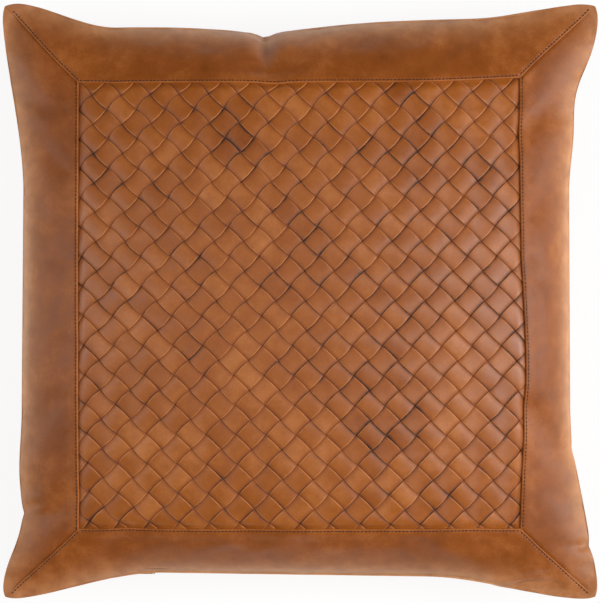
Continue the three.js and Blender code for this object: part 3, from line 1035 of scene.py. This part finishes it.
class Material:
    """A node material with short ways to add and join nodes."""

    def __init__(self, name, **shader):
        self.material = bpy.data.materials.new(name)
        self.material.use_nodes = True
        self.tree = self.material.node_tree
        self.shader = next(n for n in self.tree.nodes if n.type == "BSDF_PRINCIPLED")
        self.coordinates = self.add("ShaderNodeTexCoord").outputs["Object"]
        for socket, value in shader.items():
            self.shader.inputs[socket.replace("_", " ")].default_value = value

    def fill(self, socket, value):
        """Joins a socket to another node's output, or sets its value."""
        if isinstance(value, bpy.types.NodeSocket):
            self.tree.links.new(value, socket)
        else:
            socket.default_value = value

    def add(self, kind, settings=None, **inputs):
        node = self.tree.nodes.new(kind)
        for key, value in (settings or {}).items():
            setattr(node, key, value)
        for key, value in inputs.items():
            self.fill(node.inputs[key.replace("_", " ")], value)
        return node

    def noise(self, scale, detail=3, roughness=0.5, distortion=0.0):
        node = self.add("ShaderNodeTexNoise", Vector=self.coordinates, Scale=scale,
                        Detail=detail, Roughness=roughness, Distortion=distortion)
        return node.outputs["Fac"]

    def bands(self, direction, scale, distortion, detail=2.0):
        node = self.add("ShaderNodeTexWave", {"bands_direction": direction}, Vector=self.coordinates,
                        Scale=scale, Distortion=distortion, Detail=detail)
        return node.outputs["Fac"]

    def ramp(self, value, low, high, to_low=0.0, to_high=1.0):
        node = self.add("ShaderNodeMapRange", Value=value, From_Min=low, From_Max=high,
                        To_Min=to_low, To_Max=to_high)
        return node.outputs["Result"]

    def math(self, operation, first, second):
        node = self.add("ShaderNodeMath", {"operation": operation})
        self.fill(node.inputs[0], first)
        self.fill(node.inputs[1], second)
        return node.outputs[0]

    def total(self, first, first_share, second, second_share):
        """Two values, each times its share, added up."""
        return self.math("ADD", self.math("MULTIPLY", first, first_share),
                         self.math("MULTIPLY", second, second_share))

    def mix(self, share, first, second):
        node = self.add("ShaderNodeMix", {"data_type": "RGBA"})
        for index, value in ((0, share), (6, first), (7, second)):
            self.fill(node.inputs[index], value)
        return node.outputs[2]

    def attribute(self, name):
        return self.add("ShaderNodeAttribute", {"attribute_name": name}).outputs["Fac"]

    def bump(self, height, distance, strength=1.0, normal=None):
        inputs = {"Height": height, "Distance": distance, "Strength": strength}
        if normal is not None:
            inputs["Normal"] = normal
        return self.add("ShaderNodeBump", **inputs).outputs["Normal"]

    def join(self, socket, value):
        self.tree.links.new(value, self.shader.inputs[socket])

    def coloured(self, tone, dark, light, relief_height, distance, strength):
        """The material, with a tone from dark to light (0 to 255 display values) and a fine relief."""
        self.join("Base Color", self.mix(tone, linear(*dark), linear(*light)))
        self.join("Normal", self.bump(relief_height, distance, strength))
        return self.material


def linear(red, green, blue):
    """A colour given as 0 to 255 display values, in linear light."""
    def one(value):
        value /= 255
        return value / 12.92 if value <= 0.04045 else ((value + 0.055) / 1.055) ** 2.4
    return (one(red), one(green), one(blue), 1.0)


MIDDLE_TONE = 0.53  # of leather, where its colour is the middle one
# Darkest colour, reached by deep mottling and by the painted shade where the strips dive under
DARKEST = linear(46, 20, 6)
# Colour of the pale reflection painted along the outer seam
PAINTED_SHEEN_COLOUR = linear(224, 166, 118)


def leather(name, deep, middle, pale, marks, roughness=0.44, specular=0.5, mottle=1.0):
    """Smooth aniline leather: mottled colour, pores, fine grain, marks that lighten or darken it
    (painted highlights and painted shade among them), and a pale reflection painted along the outer
    seam.
    """
    look = Material(name, Specular_IOR_Level=specular)
    deep, middle, pale = (linear(*colour) for colour in (deep, middle, pale))
    clouds = look.noise(14, detail=4, roughness=0.55)
    blotches = look.noise(70, detail=4, roughness=0.6)
    fine = look.noise(600, detail=2)
    tone = look.total(fine, 0.16, look.total(clouds, 0.6, blotches, 0.4), 0.9)
    tone = look.math("ADD", look.math("MULTIPLY", tone, mottle), MIDDLE_TONE * (1 - mottle))
    for attribute, strength in marks.items():
        shift = look.math("MULTIPLY", look.attribute(attribute), strength)
        tone = look.math("ADD", tone, shift)
    colour = look.mix(look.ramp(tone, 0.30, 0.54), deep, middle)
    colour = look.mix(look.ramp(tone, 0.0, 0.28), DARKEST, colour)
    colour = look.mix(look.ramp(tone, 0.54, 0.86), colour, pale)
    # A pale reflection painted along the outer seam, patchy with the blotches
    rubbed = look.math("MULTIPLY", look.attribute("rubbed"), look.ramp(blotches, 0.3, 0.7, 0.42, 0.75))
    look.join("Base Color", look.mix(rubbed, colour, PAINTED_SHEEN_COLOUR))
    pores = look.add("ShaderNodeTexVoronoi", {"feature": "DISTANCE_TO_EDGE"},
                     Vector=look.coordinates, Scale=780, Randomness=1.0).outputs["Distance"]
    creases = look.ramp(pores, 0.0, 0.12)
    grain = look.bump(creases, 0.05 * mm, 0.35)
    grain = look.bump(look.noise(1500, detail=3), 0.04 * mm, 0.5, grain)
    grain = look.bump(look.noise(120, detail=2), 0.18 * mm, 0.5, grain)
    look.join("Normal", grain)
    gloss = look.math("ADD", look.ramp(blotches, 0.3, 0.7, roughness - 0.05, roughness + 0.07),
                      look.ramp(creases, 0, 1, 0.06, 0.0))
    matt = look.math("MAXIMUM", look.attribute("cut"), look.attribute("dive"))
    look.join("Roughness", look.math("ADD", gloss, look.math("MULTIPLY", matt, 0.4)))
    return look.material


BANDS_PER_THREAD = 10 / math.pi  # what a band texture's scale counts


def cloth(name, dark, light, threads, depth, roughness=0.9):
    """Plain woven cloth: crossing threads, so many of them to a metre."""
    look = Material(name, Roughness=roughness, Sheen_Weight=0.15)
    scale = threads * BANDS_PER_THREAD
    weave = look.math("MAXIMUM", look.bands("X", scale, 0.6, 1.0), look.bands("Y", scale, 0.6, 1.0))
    tone = look.total(weave, 0.5, look.noise(30), 0.5)
    return look.coloured(tone, dark, light, weave, depth, 0.6)


def tape_cloth():
    look = Material("zip_tape_weave", Roughness=0.85)
    ribs = look.bands("DIAGONAL", 420, 0.4, 1.0)
    tone = look.total(ribs, 0.6, look.noise(900, detail=2), 0.4)
    return look.coloured(tone, (52, 32, 20), (106, 72, 48), ribs, 0.12 * mm, 0.7)


def thread():
    look = Material("thread", Roughness=0.8)
    twist = look.bands("DIAGONAL", 900, 0.3)
    return look.coloured(twist, (44, 20, 9), (80, 41, 19), twist, 0.08 * mm, 0.8)


def coil_plastic():
    look = Material("coil_plastic", Roughness=0.42)
    return look.coloured(look.noise(240), (62, 38, 24), (92, 60, 40), look.noise(2600), 0.02 * mm, 0.5)


def aged_brass():
    look = Material("aged_brass", Metallic=0.95)
    tarnish = look.noise(210, detail=5, roughness=0.65)
    scratches = look.noise(1400, distortion=1.5)
    look.join("Roughness", look.ramp(scratches, 0.3, 0.7, 0.24, 0.42))
    tone = look.ramp(tarnish, 0.35, 0.65)
    return look.coloured(tone, (140, 108, 58), (186, 156, 98), scratches, 0.02 * mm, 0.5)


def fibre_wadding():
    look = Material("fibre_wadding", Roughness=1.0, Sheen_Weight=0.3)
    tufts = look.noise(60, detail=6, roughness=0.7, distortion=0.8)
    return look.coloured(tufts, (222, 219, 210), (250, 248, 243), tufts, 3 * mm, 0.8)


def floor_paint():
    look = Material("floor_paint", Roughness=0.95, Specular_IOR_Level=0.1, Emission_Strength=0.89)
    grain = look.noise(3, detail=2)
    look.join("Base Color", look.mix(grain, (0.115, 0.115, 0.115, 1), (0.125, 0.125, 0.125, 1)))
    look.join("Emission Color", look.mix(grain, (0.985, 0.985, 0.985, 1), (1, 1, 1, 1)))
    return look.material


# ---------------------------------------------------------------- camera, floor and lights

def make_camera():
    """Straight above the pillow, with its long lens framing the whole cover."""
    picture_height = 0.5148  # metres across the taller side of the picture, at the seam's height
    lens, sensor = 400.0, 36.0
    data = bpy.data.cameras.new("camera")
    data.lens, data.sensor_width = lens, sensor
    camera = bpy.data.objects.new("camera", data)
    bpy.context.scene.collection.objects.link(camera)
    camera.location = (0, 0, seam_height + picture_height * lens / sensor)
    bpy.context.scene.camera = camera


def make_floor(material):
    """A pale floor that turns up into a low wall far away, so that it has no visible end."""
    side, wall = 25.0, 1.0
    corners = [(-side, -side, 0), (side, -side, 0), (side, side, 0), (-side, side, 0)]
    raised = [(x, y, wall) for x, y, _ in corners]
    walls = [(k, k + 4, (k + 1) % 4 + 4, (k + 1) % 4) for k in range(4)]
    floor = new_object("floor", corners + raised, [(0, 1, 2, 3)] + walls, sharp=30)
    floor.location.z = -0.2 * mm
    floor.data.materials.append(material)


def area_light(name, place, size, power, aim=(0, 0, 0.06)):
    data = bpy.data.lights.new(name, "AREA")
    data.shape = "RECTANGLE"
    data.size, data.size_y = size
    data.energy = power
    light = bpy.data.objects.new(name, data)
    light.location = place
    light.rotation_euler = (Vector(aim) - Vector(place)).to_track_quat("-Z", "Y").to_euler()
    light.visible_camera = False
    bpy.context.scene.collection.objects.link(light)


# Studio lights: place, size (in metres) and power
LIGHTS = {
    "key_right": ((2.2, -0.1, 2.4), (2.0, 2.6), 73),
    "overhead": ((0.2, 0.0, 4.2), (4.5, 3.5), 23),
    "fill_left": ((-2.2, 0.0, 2.4), (1.6, 2.6), 29),
    "low_right": ((2.6, 0.0, 0.33), (0.6, 3.5), 50),
    "low_left": ((-2.6, 0.0, 0.33), (0.6, 3.5), 22),
    "low_bottom": ((0.0, -2.6, 0.33), (3.5, 0.6), 10),
}


def make_lights():
    """The studio: its soft lights, a little light from all round, and plain colour management."""
    for name, (place, size, power) in LIGHTS.items():
        area_light(name, place, size, power)
    world = bpy.data.worlds.new("studio")
    world.use_nodes = True
    background = world.node_tree.nodes["Background"]
    background.inputs["Color"].default_value = (1, 1, 1, 1)
    background.inputs["Strength"].default_value = 0.05
    bpy.context.scene.world = world
    bpy.context.scene.view_settings.view_transform = "Standard"


# ---------------------------------------------------------------- the whole scene

def main():
    make_camera()
    simulate_cover()
    # Border marks: a painted highlight along the folded edge and a slight lightening over the hem.
    # Strip marks: a painted highlight on the cut edges, a random tone per crossing, and painted shade
    # where the strips dive under.
    border_leather = leather("border_leather", (124, 63, 16), (142, 74, 21), (175, 101, 44),
                             {"fold_highlight": 0.22, "hem": 0.05}, 0.4, 0.28, 1.7)
    strip_leather = leather("strip_leather", (142, 73, 19), (160, 87, 26), (190, 116, 58),
                            {"cut": 0.36, "tone": 0.06, "dive": -0.46}, 0.36, 0.5, 1.3)
    back_leather = leather("back_leather", (128, 66, 20), (150, 81, 27), (184, 110, 54), {}, 0.5)
    backing = cloth("backing_cloth", (48, 26, 12), (74, 42, 22), 1.0 / mm, 0.1 * mm)
    cotton = cloth("insert_cotton", (224, 218, 204), (240, 236, 226), 2.0 / mm, 0.05 * mm)
    label = cloth("label_cloth", (232, 229, 218), (246, 244, 238), 3.0 / mm, 0.03 * mm)
    sewing = thread()
    brass = aged_brass()
    coil = coil_plastic()
    tape = tape_cloth()

    make_insert(cotton)
    make_filling(fibre_wadding())
    make_backing(backing)
    make_weave(strip_leather)
    make_borders(border_leather)
    make_back(back_leather)
    make_stitching(sewing)
    make_lip_stitching(sewing)
    make_tape("zip_tape_front_woven", "zip_tape_front", tape)
    make_tape("zip_tape_back_woven", "zip_tape_back", tape)
    make_coil("zip_coil_front", "zip_teeth_front", coil)
    make_coil("zip_coil_back", "zip_teeth_back", coil)
    for node in ("zip_top_stop_front", "zip_top_stop_back", "zip_bottom_stop"):
        polish_metal(node, brass, 0.3 * mm)
    polish_metal("zip_slider", brass, 0.22 * mm)
    polish_metal("zip_pull", brass, 0.2 * mm)
    make_label(label)
    make_floor(floor_paint())
    make_lights()

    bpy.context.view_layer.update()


main()
